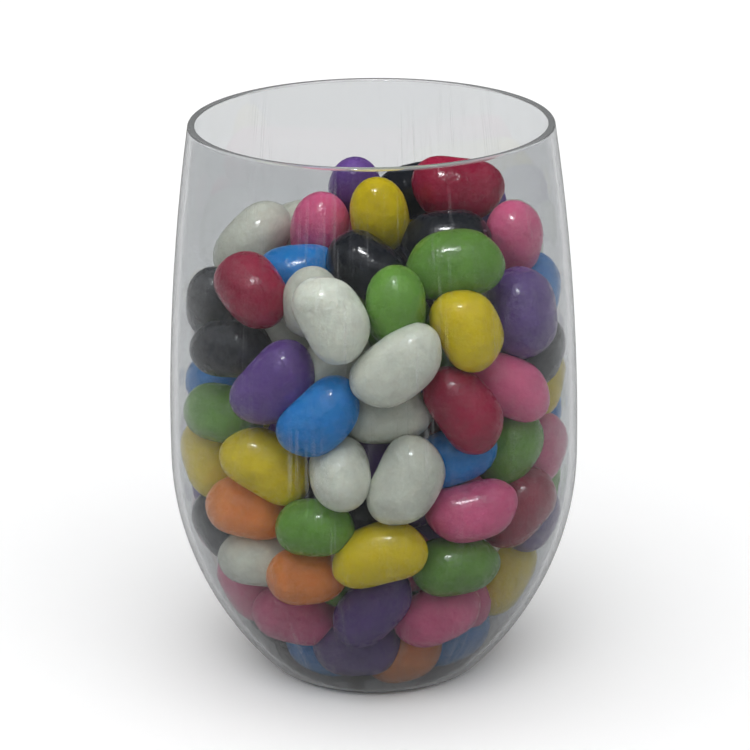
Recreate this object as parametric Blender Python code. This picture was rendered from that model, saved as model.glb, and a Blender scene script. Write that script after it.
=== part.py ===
"""A clear moulded cup heaped with jelly beans, modelled at its real size in metres.

The cup stands on its foot at the origin, with +Z up and the front of the picture at -Y.
The beans are packed into it in two lots. The ones that the picture shows are placed where its
sight lines meet the inside of the cup, and the rest fill the cup behind them. All of them are
then settled, so that they lie against the wall, the floor and each other.
"""
import math
from collections import namedtuple

import bmesh
import bpy
import numpy as np
from mathutils import Vector

MM = 0.001

# Cup: a stemless tumbler, 90 mm across its belly
CUP_HEIGHT = 124 * MM
FOOT_RADIUS = 24 * MM
BELLY_RADIUS = 45 * MM
BELLY_HEIGHT = 49 * MM
RIM_RADIUS = 38.9 * MM
WALL = 1.5 * MM
FLOOR = 1.5 * MM
FLOOR_RADIUS = 23.4 * MM
LOWER_CURVE = 0.91
UPPER_CURVE = 1.95
FOOT_ROUNDING = 1.2 * MM
RIM_ROUNDING = 0.25 * MM
CUP_SEGMENTS = 48
LOWER_RINGS = 8
UPPER_RINGS = 3
CUP_COLOUR = "D8D9DA"

# Picture: where its eye is, and how it sees
EYE = np.array([0, -500, 251]) * MM
PITCH = math.radians(20.27)
ROLL = math.radians(0.5)
FOCAL_PIXELS = 2420
MIDDLE_COLUMN = 373.5
MIDDLE_ROW = 375
NEAREST = 380 * MM
FARTHEST = 680 * MM
SIGHT_STEP = 0.5 * MM
RIGHT = np.array([1.0, 0.0, 0.0])
FORWARD = np.array([0.0, math.cos(PITCH), -math.sin(PITCH)])
UP = np.array([0.0, math.sin(PITCH), math.cos(PITCH)])

# Beans
USUAL_LONG = 19.8 * MM
USUAL_WIDE = 13.4 * MM
SIZE_SPREAD = 0.035
THICKNESS_SHARE = 0.95
BOW_SHARE = 0.065
BOW_MIDDLE = 0.4
FULLNESS = 0.4
FACET_ALLOWANCE = 1.02

# Fill: the beans behind those of the picture, before they settle
FILL_SEED = 7
FILL_PITCH = 15.2 * MM
LAYER_SHARE = 0.80
LINE_SHARE = 0.88
FIRST_LAYER = 7.5 * MM
LAYER_SHIFT = (4 * MM, 5 * MM)
SHAKE = 1.5 * MM
FILL_APART = 10.5 * MM
VEILING_PIXELS = 34
VEILING_DEPTH = 6 * MM
UPRIGHT_SHARE = 0.6
TOP_UPS = 3
TOP_UP_PITCH = 5 * MM
TOP_UP_ROOM = 4.2 * MM

# Settling: three balls stand for each bean, and each step moves it by a share of what is left
SETTLING_STEPS = 260
TOP_UP_STEPS = 90
SKIN_STEPS = 40
PAIRING_STEPS = 5
CLEARANCE = 0.45 * MM
END_BALL_SHARE = 0.84
MIDDLE_BALL_SHARE = 0.985
BALL_SPOTS = np.array([-1.0, 0.0, 1.0])
REACH = 24 * MM
SEEN_GIVES = 0.35
PUSH_SHARE = 0.25
LONGEST_PUSH = 3 * MM
WALL_SHARE = 0.36
LONGEST_WALL_PUSH = 4 * MM
LONGEST_MOVE = 1.5 * MM
TURN_SHARE = 2.2
TURN_HOLD = 30 * MM ** 2
SINK = 0.05 * MM
BACK_ACROSS = 0.35
BACK_ALONG = 0.04
BACK_LEAN = 0.25
BACK_HOLLOW = 0.05
GRID = 1e-8

# Heap
CORE_DEPTH = 6.8 * MM
CORE_TOP_DEPTH = 12 * MM
CORE_SHOULDER = 0.35
HEAP_EDGE_HEIGHT = 96 * MM
SLOPE_ACROSS = 0.08
SLOPE_BACK = 0.06
MOUND_HEIGHT = 17 * MM
MOUND_RADIUS = 24 * MM
MOUND_X = 8 * MM
MOUND_Y = 6 * MM
SKYLINE_COLUMNS = 22
SKYLINE_ROWS = 4
CORE_RINGS = 7
CORE_SEGMENTS = 16
SHOWN_DEPTH = 10.2 * MM
COVER_ACROSS = 9 * MM
COVER_ABOVE = 5 * MM
HEAP_COLOUR = "9A7A6E"

# What the picture shows of each bean: its colour, the column and row of its middle, its length
# and width in millimetres, the lean of its long axis in degrees, how many millimetres it lies
# behind the front of the cup, how far its long axis points out of the picture, and the side of
# its hollow.
Bean = namedtuple("Bean", "colour column row long wide lean behind nose hollow", defaults=(0, 0, "away"))
SEEN = (
    # Top of the heap
    Bean("white", column=252, row=241, long=21.0, wide=13.4, lean=42, behind=38, nose=-5),
    Bean("white", column=291, row=230, long=19.0, wide=13.0, lean=20, behind=50, nose=20),
    Bean("pink", column=320, row=229, long=19.5, wide=13.6, lean=80, behind=34, nose=62),
    Bean("purple", column=355, row=187, long=17.0, wide=12.2, lean=90, behind=44, nose=75),
    Bean("yellow", column=380, row=215, long=19.0, wide=13.2, lean=100, behind=27, nose=58),
    Bean("black", column=416, row=191, long=19.5, wide=13.0, lean=10, behind=46, nose=10),
    Bean("red", column=458, row=187, long=20.5, wide=13.8, lean=-5, behind=33, hollow="up"),
    Bean("pink", column=515, row=240, long=18.5, wide=13.0, lean=95, behind=22, nose=50),
    Bean("white", column=524, row=240, long=18.5, wide=13.0, lean=90, behind=40),
    Bean("black", column=445, row=240, long=19.5, wide=13.4, lean=2, behind=20),
    Bean("green", column=451, row=267, long=21.5, wide=14.2, lean=7, behind=9, hollow="down"),
    Bean("blue", column=544, row=294, long=19.0, wide=13.2, lean=80, behind=40),
    Bean("black", column=369, row=268, long=19.0, wide=13.2, lean=-35, behind=14, nose=20),
    Bean("blue", column=300, row=277, long=19.5, wide=13.4, lean=10, behind=18),
    Bean("red", column=256, row=289, long=18.6, wide=13.8, lean=-50, behind=5, nose=35),
    Bean("black", column=213, row=303, long=19.0, wide=13.2, lean=80, behind=16, nose=55),
    # Upper front
    Bean("purple", column=526, row=314, long=20.0, wide=15.2, lean=95, behind=0),
    Bean("black", column=552, row=345, long=18.0, wide=12.6, lean=60, behind=34, nose=-30),
    Bean("yellow", column=468, row=330, long=18.0, wide=13.4, lean=-65, hollow="left"),
    Bean("green", column=398, row=309, long=19.0, wide=13.2, lean=92, behind=4, nose=42),
    Bean("white", column=395, row=362, long=21.6, wide=13.4, lean=46, hollow="left"),
    Bean("white", column=330, row=319, long=19.0, wide=13.6, lean=-60, hollow="left"),
    Bean("white", column=309, row=303, long=17.0, wide=12.6, lean=75, behind=12, nose=60),
    Bean("white", column=297, row=321, long=18.5, wide=13.0, lean=10, behind=10),
    Bean("black", column=227, row=348, long=18.5, wide=13.0, lean=2, behind=0, nose=15),
    Bean("blue", column=215, row=380, long=19.0, wide=13.0, lean=10, behind=40, nose=50),
    Bean("green", column=224, row=413, long=19.0, wide=13.2, lean=-10, behind=8, nose=30),
    Bean("purple", column=275, row=385, long=20.5, wide=13.8, lean=40, hollow="left"),
    Bean("blue", column=318, row=416, long=20.0, wide=12.8, lean=42, hollow="left"),
    Bean("white", column=330, row=366, long=19.0, wide=13.0, lean=40, behind=11),
    Bean("white", column=387, row=415, long=20.0, wide=13.2, lean=5, behind=11),
    Bean("purple", column=348, row=382, long=19.0, wide=13.0, lean=70, behind=16),
    Bean("red", column=462, row=409, long=20.5, wide=13.4, lean=-55, behind=2, hollow="left"),
    Bean("pink", column=508, row=386, long=20.5, wide=13.0, lean=-22, behind=2, hollow="down"),
    Bean("yellow", column=539, row=379, long=19.0, wide=13.0, lean=80, behind=40),
    Bean("blue", column=549, row=413, long=17.0, wide=13.0, lean=70, behind=3, nose=30),
    Bean("pink", column=553, row=447, long=18.0, wide=13.0, lean=60, behind=26, nose=30),
    Bean("green", column=507, row=449, long=19.0, wide=13.4, lean=60, behind=4, nose=30),
    Bean("blue", column=455, row=455, long=19.0, wide=13.0, lean=20, behind=11),
    # Middle
    Bean("green", column=541, row=483, long=19.0, wide=13.0, lean=80, behind=30),
    Bean("red", column=521, row=507, long=20.0, wide=13.4, lean=50, behind=3),
    Bean("pink", column=473, row=510, long=19.8, wide=12.8, lean=12, hollow="up"),
    Bean("white", column=404, row=479, long=20.5, wide=13.8, lean=62, hollow="left"),
    Bean("white", column=341, row=472, long=19.0, wide=13.4, lean=-80, behind=2, nose=55),
    Bean("yellow", column=267, row=467, long=20.6, wide=13.4, lean=-32, hollow="down"),
    Bean("yellow", column=211, row=459, long=19.5, wide=13.2, lean=-75, behind=3),
    Bean("purple", column=213, row=425, long=19.0, wide=13.0, lean=80, behind=34),
    Bean("purple", column=213, row=489, long=19.0, wide=13.0, lean=10, behind=34, nose=50),
    Bean("black", column=214, row=527, long=19.0, wide=13.0, lean=-50, behind=14, nose=20),
    Bean("orange", column=250, row=509, long=19.8, wide=13.4, lean=-15, behind=3),
    Bean("green", column=315, row=526, long=17.5, wide=13.0, lean=-5, behind=4, nose=20),
    Bean("yellow", column=378, row=553, long=20.8, wide=13.0, lean=14, hollow="down"),
    Bean("green", column=455, row=565, long=19.5, wide=13.2, lean=5, behind=3),
    Bean("yellow", column=510, row=576, long=21.0, wide=13.6, lean=52),
    Bean("purple", column=538, row=519, long=18.0, wide=12.6, lean=70, behind=34, nose=50),
    Bean("black", column=355, row=515, long=19.0, wide=13.0, lean=30, behind=13),
    Bean("black", column=322, row=497, long=19.0, wide=13.0, lean=-20, behind=14),
    Bean("purple", column=372, row=452, long=19.0, wide=13.0, lean=80, behind=15),
    # Bottom
    Bean("white", column=260, row=556, long=17.5, wide=13.0, lean=-8, behind=3),
    Bean("orange", column=305, row=577, long=18.0, wide=13.0, lean=3, behind=1),
    Bean("pink", column=248, row=584, long=19.0, wide=13.0, lean=-60, behind=12),
    Bean("pink", column=293, row=617, long=19.8, wide=13.0, lean=-15, behind=1),
    Bean("black", column=272, row=625, long=19.0, wide=13.0, lean=-30, behind=10),
    Bean("purple", column=372, row=610, long=19.5, wide=13.0, lean=45, behind=2),
    Bean("pink", column=436, row=612, long=19.8, wide=12.8, lean=25, behind=2),
    Bean("blue", column=450, row=650, long=19.5, wide=12.8, lean=25, behind=4),
    Bean("purple", column=354, row=664, long=19.5, wide=12.8, lean=0, behind=2),
    Bean("blue", column=312, row=675, long=18.5, wide=12.8, lean=-20, behind=4),
    Bean("orange", column=406, row=680, long=18.5, wide=12.8, lean=15, behind=3),
)
FILL_SHARES = {
    "white": 0.20,
    "purple": 0.14,
    "yellow": 0.12,
    "pink": 0.13,
    "black": 0.10,
    "green": 0.11,
    "blue": 0.09,
    "red": 0.06,
    "orange": 0.05,
}

Beans = namedtuple("Beans", "places long_axes hollow_axes longs wides")


def unit(vectors):
    return vectors / np.sqrt((vectors ** 2).sum(-1, keepdims=True))


def on_grid(vectors):
    """Rounded, so that every computer settles the beans alike."""
    return np.round(vectors / GRID) * GRID


def side_radius(height, foot, foot_height, belly):
    """The cup's radius at a height: a full curve from the foot to the belly, then drawn in to the rim."""
    low = np.clip(1 - (height - foot_height) / (BELLY_HEIGHT - foot_height), 0, 1)
    high = np.clip((height - BELLY_HEIGHT) / (CUP_HEIGHT - BELLY_HEIGHT), 0, 1)
    below = foot + (belly - foot) * (1 - low ** 2) ** LOWER_CURVE
    above = belly - (BELLY_RADIUS - RIM_RADIUS) * high ** UPPER_CURVE
    return np.where(height < BELLY_HEIGHT, below, above)


def outer_radius(height):
    return side_radius(height, FOOT_RADIUS, 0.0, BELLY_RADIUS)


def inner_radius(height):
    return side_radius(height, FLOOR_RADIUS, FLOOR, BELLY_RADIUS - WALL)


def ring_heights(lowest, highest, lower_rings, upper_rings):
    """Heights up a side, closer together near the foot, where the side curves most."""
    turns = np.linspace(0, math.pi / 2, lower_rings + 1)
    low = lowest + (BELLY_HEIGHT - lowest) * (1 - np.cos(turns))
    return np.concatenate([low, np.linspace(BELLY_HEIGHT, highest, upper_rings + 1)[1:]])


def inside_profile(lower_rings, upper_rings):
    """Radius and height along the floor and up the inside of the cup."""
    up = ring_heights(FLOOR, CUP_HEIGHT, lower_rings, upper_rings)
    return np.concatenate([[[0.0, FLOOR]], np.stack([inner_radius(up), up], 1)])


FINE_INSIDE = inside_profile(4 * LOWER_RINGS, 4 * UPPER_RINGS)


def wall_gap(points):
    """How far each point is inside the cup, and the direction that leads away from the wall."""
    radius = np.sqrt((points[:, :2] ** 2).sum(1))
    flat = np.stack([radius, points[:, 2]], 1)
    start, step = FINE_INSIDE[:-1], np.diff(FINE_INSIDE, axis=0)
    along = ((flat[:, None] - start) * step).sum(2) / (step ** 2).sum(1)
    foot = start + np.clip(along, 0, 1)[:, :, None] * step
    away = flat[:, None] - foot
    gap = np.sqrt((away ** 2).sum(2))
    best = gap.argmin(1)
    rows = np.arange(len(points))
    normal = unit(np.stack([-step[:, 1], step[:, 0]], 1))[best]
    inside = (away[rows, best] * normal).sum(1) >= 0
    outward = points[:, :2] / np.maximum(radius, 1e-9)[:, None]
    return (
        np.where(inside, gap[rows, best], -gap[rows, best]),
        np.concatenate([normal[:, :1] * outward, normal[:, 1:]], 1),
    )


def sight_line(column, row):
    """The direction from the eye through a column and row of the picture."""
    x, y = column - MIDDLE_COLUMN, MIDDLE_ROW - row
    across = x * math.cos(ROLL) + y * math.sin(ROLL)
    up = y * math.cos(ROLL) - x * math.sin(ROLL)
    return unit(FORWARD * FOCAL_PIXELS + RIGHT * across + UP * up)


def place_seen(bean):
    """A bean of the picture: its place, long axis and hollow side."""
    way = sight_line(bean.column, bean.row)
    line = EYE + way * np.arange(NEAREST, FARTHEST, SIGHT_STEP)[:, None]
    gap, _ = wall_gap(line)
    room = np.flatnonzero(gap > bean.wide * MM / 2 + CLEARANCE)
    if len(room):
        place = line[min(room[0] + int(bean.behind * MM / SIGHT_STEP), room[-1])]
    else:
        place = line[gap.argmax()]
    lean, nose = math.radians(bean.lean), math.radians(bean.nose)
    across = RIGHT * math.cos(lean) + UP * math.sin(lean)
    long_axis = across * math.cos(nose) - FORWARD * math.sin(nose)
    side = {"away": FORWARD, "left": -RIGHT, "up": UP, "down": -UP}[bean.hollow]
    return place, long_axis, unit(side - long_axis * (side * long_axis).sum())


def heap_height(x, y):
    """Height of the heap's surface: a mound that is highest a little behind the middle, on the right."""
    mound = np.exp(-((x - MOUND_X) ** 2 + (y - MOUND_Y) ** 2) / MOUND_RADIUS ** 2)
    return HEAP_EDGE_HEIGHT + SLOPE_ACROSS * x + SLOPE_BACK * y + MOUND_HEIGHT * mound


def seen_at(places):
    """The column and row of the picture at which each place is seen."""
    away = places - EYE
    scale = FOCAL_PIXELS / (away * FORWARD).sum(-1)
    across, up = (away * RIGHT).sum(-1) * scale, (away * UP).sum(-1) * scale
    x = across * math.cos(ROLL) - up * math.sin(ROLL)
    y = up * math.cos(ROLL) + across * math.sin(ROLL)
    return MIDDLE_COLUMN + x, MIDDLE_ROW - y


def peeks_over(places, seen_places):
    """Whether the picture would show a bean at each place above the beans that it does show."""
    column, row = seen_at(places)
    seen_column, seen_row = seen_at(seen_places)
    beside = np.abs(column[:, None] - seen_column) < SKYLINE_COLUMNS
    return row < np.where(beside, seen_row, MIDDLE_ROW).min(1) + SKYLINE_ROWS


def veils(places, seen_places):
    """Whether a bean at each place would stand before a bean that the picture shows."""
    column, row = seen_at(places)
    seen_column, seen_row = seen_at(seen_places)
    beside = (column[:, None] - seen_column) ** 2 + (row[:, None] - seen_row) ** 2 < VEILING_PIXELS ** 2
    depth, seen_depth = ((places - EYE) * FORWARD).sum(1), ((seen_places - EYE) * FORWARD).sum(1)
    return (beside & (depth[:, None] < seen_depth + VEILING_DEPTH)).any(1)


def draw_bean(draw, place):
    """A bean of the fill at a place, turned anyhow, of nearly the usual size and any colour."""
    names = tuple(FILL_SHARES)
    long_axis = unit(draw.normal(size=3) * [1, 1, UPRIGHT_SHARE])
    hollow = unit(np.cross(long_axis, draw.normal(size=3)))
    size = draw.normal(1, SIZE_SPREAD)
    colour = names[draw.choice(len(names), p=tuple(FILL_SHARES.values()))]
    return place, long_axis, hollow, USUAL_LONG * size, USUAL_WIDE * size, colour


def in_heap(places, seen_places):
    """Whether a bean at each place is in the cup, under the surface and behind what the picture shows."""
    low_enough = places[:, 2] < heap_height(places[:, 0], places[:, 1]) - USUAL_WIDE / 2
    clear = wall_gap(places)[0] > USUAL_WIDE / 2 - 0.5 * MM
    return low_enough & clear & ~peeks_over(places, seen_places) & ~veils(places, seen_places)


def lattice(pitch, layer_pitch):
    """Points of a lattice that fills the cup, each layer and line set between those beside it."""
    return np.array([
        (x + line % 2 * pitch / 2 + layer % 2 * LAYER_SHIFT[0], y + layer % 2 * LAYER_SHIFT[1], z)
        for layer, z in enumerate(np.arange(FLOOR + FIRST_LAYER, CUP_HEIGHT, layer_pitch))
        for line, y in enumerate(np.arange(-BELLY_RADIUS, BELLY_RADIUS, pitch * LINE_SHARE))
        for x in np.arange(-BELLY_RADIUS, BELLY_RADIUS, pitch)
    ])


def place_fill(draw, seen_places):
    """The beans that fill the cup behind those of the picture, on a shaken lattice."""
    places = lattice(FILL_PITCH, FILL_PITCH * LAYER_SHARE)
    places = places + draw.uniform(-SHAKE, SHAKE, places.shape)
    apart = np.sqrt(((places[:, None] - seen_places) ** 2).sum(2)).min(1)
    return [draw_bean(draw, place) for place in places[in_heap(places, seen_places) & (apart > FILL_APART)]]


def top_up(draw, beans, seen_places):
    """More beans, wherever the settled heap has room for one."""
    centres, radii = balls(beans)
    centres, radii = centres.reshape(-1, 3), radii.reshape(-1)
    found = []
    spots = lattice(TOP_UP_PITCH, TOP_UP_PITCH)
    for place in spots[in_heap(spots, seen_places)]:
        if (np.sqrt(((centres - place) ** 2).sum(1)) - radii).min() > TOP_UP_ROOM:
            found.append(draw_bean(draw, place))
            centres = np.concatenate([centres, place[None]])
            radii = np.append(radii, USUAL_WIDE / 2)
    return found


def balls(beans):
    """Three balls along each bean's bent middle line, which stand for it as it settles."""
    end = beans.wides / 2 * END_BALL_SHARE
    reach = (beans.longs / 2 - end)[:, None, None] * BALL_SPOTS[None, :, None]
    bow = (beans.longs * BOW_SHARE)[:, None, None] * (BALL_SPOTS ** 2 - BOW_MIDDLE)[None, :, None]
    centres = beans.places[:, None] + beans.long_axes[:, None] * reach + beans.hollow_axes[:, None] * bow
    return centres, np.stack([end, beans.wides / 2 * MIDDLE_BALL_SHARE, end], 1)


def settle(home, beans, steps):
    """Push beans out of each other and of the wall, let the fill sink, and keep the seen ones in view.

    Home holds the beans of the picture, which come first, where they belong.
    """
    seen_count, count = len(home.places), len(beans.places)
    gives = np.where(np.arange(count) < seen_count, SEEN_GIVES, 1.0)
    for step in range(steps):
        if step % PAIRING_STEPS == 0:
            apart = ((beans.places[:, None] - beans.places[None]) ** 2).sum(2)
            first, second = np.nonzero(np.triu(apart < REACH ** 2, 1))
            share = (gives[first] / (gives[first] + gives[second]))[:, None, None, None]
        centres, radii = balls(beans)
        push = wall_push(centres, radii)
        force = ball_push(centres, radii, first, second)
        np.add.at(push, first, (force * share).sum(2))
        np.add.at(push, second, -(force * (1 - share)).sum(1))
        arm = centres - beans.places[:, None]
        turning = np.cross(arm, push).sum(1) / ((arm ** 2).sum((1, 2)) + TURN_HOLD)[:, None] * TURN_SHARE
        move = push.sum(1)
        move[seen_count:, 2] -= SINK * (1 - step / steps)
        beans = keep_in_view(home, moved(beans, move, turning))
    return beans


def wall_push(centres, radii):
    """How far the wall pushes each ball towards the inside of the cup."""
    gap, inward = wall_gap(centres.reshape(-1, 3))
    short = np.clip(radii.reshape(-1) + CLEARANCE - gap, 0, LONGEST_WALL_PUSH)
    return (inward * short[:, None] * WALL_SHARE).reshape(centres.shape)


def ball_push(centres, radii, first, second):
    """How far each ball of the first beans is pushed by each ball of the second ones."""
    between = centres[first][:, :, None] - centres[second][:, None]
    distance = np.maximum(np.sqrt((between ** 2).sum(3)), GRID)
    overlap = np.clip(radii[first][:, :, None] + radii[second][:, None] - distance, 0, LONGEST_PUSH)
    return between / distance[..., None] * overlap[..., None] * PUSH_SHARE


def moved(beans, move, turning):
    """The beans after one small move and turn each."""
    length = np.sqrt((move ** 2).sum(1, keepdims=True))
    return beans._replace(
        places=beans.places + move * np.minimum(1, LONGEST_MOVE / np.maximum(length, GRID)),
        long_axes=beans.long_axes + np.cross(turning, beans.long_axes),
        hollow_axes=beans.hollow_axes + np.cross(turning, beans.hollow_axes),
    )


def keep_in_view(home, beans):
    """Bring the beans of the picture back a little, least along the sight line, and square every axis."""
    seen = slice(0, len(home.places))
    places, long_axes, hollow_axes = beans.places.copy(), beans.long_axes.copy(), beans.hollow_axes.copy()
    way = unit(home.places - EYE)
    back = home.places - places[seen]
    along = (back * way).sum(1, keepdims=True) * way
    places[seen] += (back - along) * BACK_ACROSS + along * BACK_ALONG
    long_axes[seen] += (home.long_axes - long_axes[seen]) * BACK_LEAN
    hollow_axes[seen] += (home.hollow_axes - hollow_axes[seen]) * BACK_HOLLOW
    long_axes = unit(long_axes)
    hollow_axes = unit(hollow_axes - long_axes * (long_axes * hollow_axes).sum(1, keepdims=True))
    return beans._replace(
        places=on_grid(places), long_axes=on_grid(long_axes), hollow_axes=on_grid(hollow_axes)
    )


def clear_of_wall(beans):
    """Move each bean in until its whole skin is clear of the cup."""
    directions = ball_directions() * FACET_ALLOWANCE
    shapes = np.array([skin(directions, *row) for row in zip(*beans[1:])])
    number = np.arange(len(shapes))
    places = beans.places
    for _ in range(SKIN_STEPS):
        gap, inward = wall_gap((places[:, None] + shapes).reshape(-1, 3))
        short = np.clip(CLEARANCE - gap, 0, None).reshape(len(shapes), -1)
        worst = short.argmax(1)
        step = inward.reshape(shapes.shape)[number, worst] * short[number, worst][:, None]
        places = on_grid(places + step)
    return beans._replace(places=places)


def skin(directions, long_axis, hollow_axis, long, wide):
    """Points of a bean's skin about its middle, for directions on a ball: a full oval, bent to one side."""
    x, y, z = directions.T
    full = wide / 2 * (1 + FULLNESS * (1 - x ** 2) * x ** 2)
    bend = long * BOW_SHARE * (x ** 2 - BOW_MIDDLE)
    thick_axis = np.cross(long_axis, hollow_axis)
    return (
        (x * long / 2)[:, None] * long_axis
        + (y * full + bend)[:, None] * hollow_axis
        + (z * full * THICKNESS_SHARE)[:, None] * thick_axis
    )


def ball_directions():
    """The corners of a ball of 80 triangles."""
    mesh = bmesh.new()
    bmesh.ops.create_icosphere(mesh, subdivisions=2, radius=1)
    directions = np.array([vert.co for vert in mesh.verts])
    mesh.free()
    return unit(directions)


def in_columns(rows):
    """The beans of a list, without their colours."""
    return Beans(*(np.array([row[k] for row in rows]) for k in range(len(Beans._fields))))


def pack_beans():
    """Every bean in its settled place."""
    draw = np.random.default_rng(FILL_SEED)
    rows = [(*place_seen(bean), bean.long * MM, bean.wide * MM, bean.colour) for bean in SEEN]
    home = in_columns(rows)
    beans = settle(home, in_columns(rows + place_fill(draw, home.places)), SETTLING_STEPS)
    for _ in range(TOP_UPS):
        more = top_up(draw, beans, home.places)
        if more:
            beans = Beans(*(np.concatenate(pair) for pair in zip(beans, in_columns(more))))
            beans = settle(home, beans, TOP_UP_STEPS)
    return clear_of_wall(beans)


def linear_colour(hex_colour):
    """The linear colour of an sRGB hex value."""
    values = [int(hex_colour[k:k + 2], 16) / 255 for k in (0, 2, 4)]
    return [v / 12.92 if v <= 0.04045 else ((v + 0.055) / 1.055) ** 2.4 for v in values] + [1]


def material(name, hex_colour, roughness, transmission=0.0):
    made = bpy.data.materials.new(name)
    made.use_nodes = True
    shader = made.node_tree.nodes["Principled BSDF"]
    shader.inputs["Base Color"].default_value = linear_colour(hex_colour)
    shader.inputs["Roughness"].default_value = roughness
    shader.inputs["Metallic"].default_value = 0
    shader.inputs["Transmission Weight"].default_value = transmission
    return made


def add_object(name, mesh_in_progress):
    """A scene object from a bmesh, which is then freed."""
    data = bpy.data.meshes.new(name)
    mesh_in_progress.to_mesh(data)
    mesh_in_progress.free()
    made = bpy.data.objects.new(name, data)
    bpy.context.scene.collection.objects.link(made)
    return made


def shade_round(thing, crease_degrees):
    thing.data.shade_smooth()
    thing.data.set_sharp_from_angle(angle=math.radians(crease_degrees))


def turn(profile, segments):
    """The closed solid that a profile sweeps about the Z axis, with both its ends on the axis."""
    mesh = bmesh.new()
    corners = [mesh.verts.new((radius, 0, height)) for radius, height in profile]
    edges = [mesh.edges.new(pair) for pair in zip(corners, corners[1:])]
    bmesh.ops.spin(
        mesh,
        geom=corners + edges,
        axis=(0, 0, 1),
        cent=(0, 0, 0),
        angle=math.tau,
        steps=segments,
        use_merge=True,
    )
    bmesh.ops.remove_doubles(mesh, verts=mesh.verts, dist=0.001 * MM)
    bmesh.ops.recalc_face_normals(mesh, faces=mesh.faces)
    return mesh


def cup_profile():
    """Radius and height round the cup's section: under the foot, up the outside and down the inside."""
    rounding = [
        (FOOT_RADIUS - FOOT_ROUNDING * (1 - math.sin(angle)), FOOT_ROUNDING * (1 - math.cos(angle)))
        for angle in (0, math.radians(30), math.radians(60))
    ]
    up = ring_heights(FOOT_ROUNDING, CUP_HEIGHT - RIM_ROUNDING, LOWER_RINGS, UPPER_RINGS)
    outside = list(zip(outer_radius(up), up))
    rim = [
        (RIM_RADIUS - RIM_ROUNDING, CUP_HEIGHT),
        (RIM_RADIUS - WALL + RIM_ROUNDING, CUP_HEIGHT),
    ]
    down = ring_heights(FLOOR, CUP_HEIGHT - RIM_ROUNDING, LOWER_RINGS, UPPER_RINGS)[::-1]
    inside = list(zip(inner_radius(down), down))
    return [(0, 0)] + rounding + outside + rim + inside + [(0, FLOOR)]


def make_cup():
    """Clear moulded plastic, with an even wall and a flat rim."""
    cup = add_object("cup", turn(cup_profile(), CUP_SEGMENTS))
    shade_round(cup, 35)
    cup.data.materials.append(material("clear moulded plastic", CUP_COLOUR, 0.05, transmission=1.0))
    return cup


def make_core():
    """The hidden middle of the heap, a bean's half thickness inside the wall and under the surface."""
    up = np.linspace(0, 1, CORE_RINGS)
    low = FLOOR + CORE_DEPTH
    mesh = turn([(0, 0)] + [(1 - CORE_SHOULDER * t ** 6, t) for t in up] + [(0, 1)], CORE_SEGMENTS)
    for corner in mesh.verts:
        share = corner.co.z
        top = heap_height(0, 0) - CORE_TOP_DEPTH
        height = low + share * (top - low)
        radius = float(inner_radius(np.array(height))) - CORE_DEPTH
        corner.co.x *= radius
        corner.co.y *= radius
        slope = float(heap_height(corner.co.x, corner.co.y) - heap_height(0, 0))
        corner.co.z = height + share * slope
    bmesh.ops.triangulate(mesh, faces=mesh.faces)
    return add_object("jelly_bean_heap", mesh)


def shown(beans):
    """Which beans can be seen: those at the wall or the floor, and those with nothing over them."""
    at_wall = wall_gap(beans.places)[0] < SHOWN_DEPTH
    across = beans.places[:, None, :2] - beans.places[None, :, :2]
    near = (across ** 2).sum(2) < COVER_ACROSS ** 2
    above = beans.places[None, :, 2] - beans.places[:, None, 2] > COVER_ABOVE
    return np.flatnonzero(at_wall | ~(near & above).any(1))


def make_bean(number, place, shape):
    """One bean of few sides, ready to be fused to the heap."""
    mesh = bmesh.new()
    bmesh.ops.create_icosphere(mesh, subdivisions=2, radius=1)
    for corner, point in zip(mesh.verts, shape):
        corner.co = Vector(place + point)
    bmesh.ops.recalc_face_normals(mesh, faces=mesh.faces)
    data = bpy.data.meshes.new(f"bean {number}")
    mesh.to_mesh(data)
    mesh.free()
    return bpy.data.objects.new(f"bean {number}", data)


def keep_outer_shell(mesh):
    """Fill the hollows that fusing seals, and drop loose scraps: the shell of the most faces stays."""
    todo = set(mesh.faces)
    shells = []
    while todo:
        shell = {todo.pop()}
        edge = list(shell)
        while edge:
            for link in edge.pop().edges:
                # Where more faces meet, two shells only touch.
                if len(link.link_faces) == 2:
                    fresh = [face for face in link.link_faces if face not in shell]
                    shell.update(fresh)
                    edge.extend(fresh)
        todo -= shell
        shells.append(shell)
    kept = max(shells, key=len)
    bmesh.ops.delete(mesh, geom=[face for face in mesh.faces if face not in kept], context="FACES")


def make_heap(beans):
    """The core with every bean that shows fused on, at its true size."""
    heap = make_core()
    loose = bpy.data.collections.new("loose beans")
    directions = ball_directions() * FACET_ALLOWANCE
    for number in shown(beans):
        place, *turned_and_sized = (column[number] for column in beans)
        loose.objects.link(make_bean(number, place, skin(directions, *turned_and_sized)))
    fuse = heap.modifiers.new("fused beans", "BOOLEAN")
    fuse.operation = "UNION"
    fuse.operand_type = "COLLECTION"
    fuse.collection = loose
    bpy.context.view_layer.objects.active = heap
    bpy.ops.object.modifier_apply(modifier=fuse.name)
    for bean in list(loose.objects):
        bpy.data.objects.remove(bean)
    bpy.data.collections.remove(loose)
    mesh = bmesh.new()
    mesh.from_mesh(heap.data)
    bmesh.ops.triangulate(mesh, faces=mesh.faces)
    keep_outer_shell(mesh)
    mesh.to_mesh(heap.data)
    mesh.free()
    shade_round(heap, 40)
    heap.data.materials.append(material("sugar shell", HEAP_COLOUR, 0.3))
    return heap


def main():
    for thing in list(bpy.data.objects):
        bpy.data.objects.remove(thing)
    make_cup()
    make_heap(pack_beans())


main()
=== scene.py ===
"""A clear moulded cup heaped with jelly beans, dressed for a picture.

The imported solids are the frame. A smooth clear cup and real beans stand in their places: every bean
is its own closed oval, packed by the rule that the solids were packed by, and the beans of one
colour are one piece.
"""
import math
from collections import namedtuple

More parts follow.
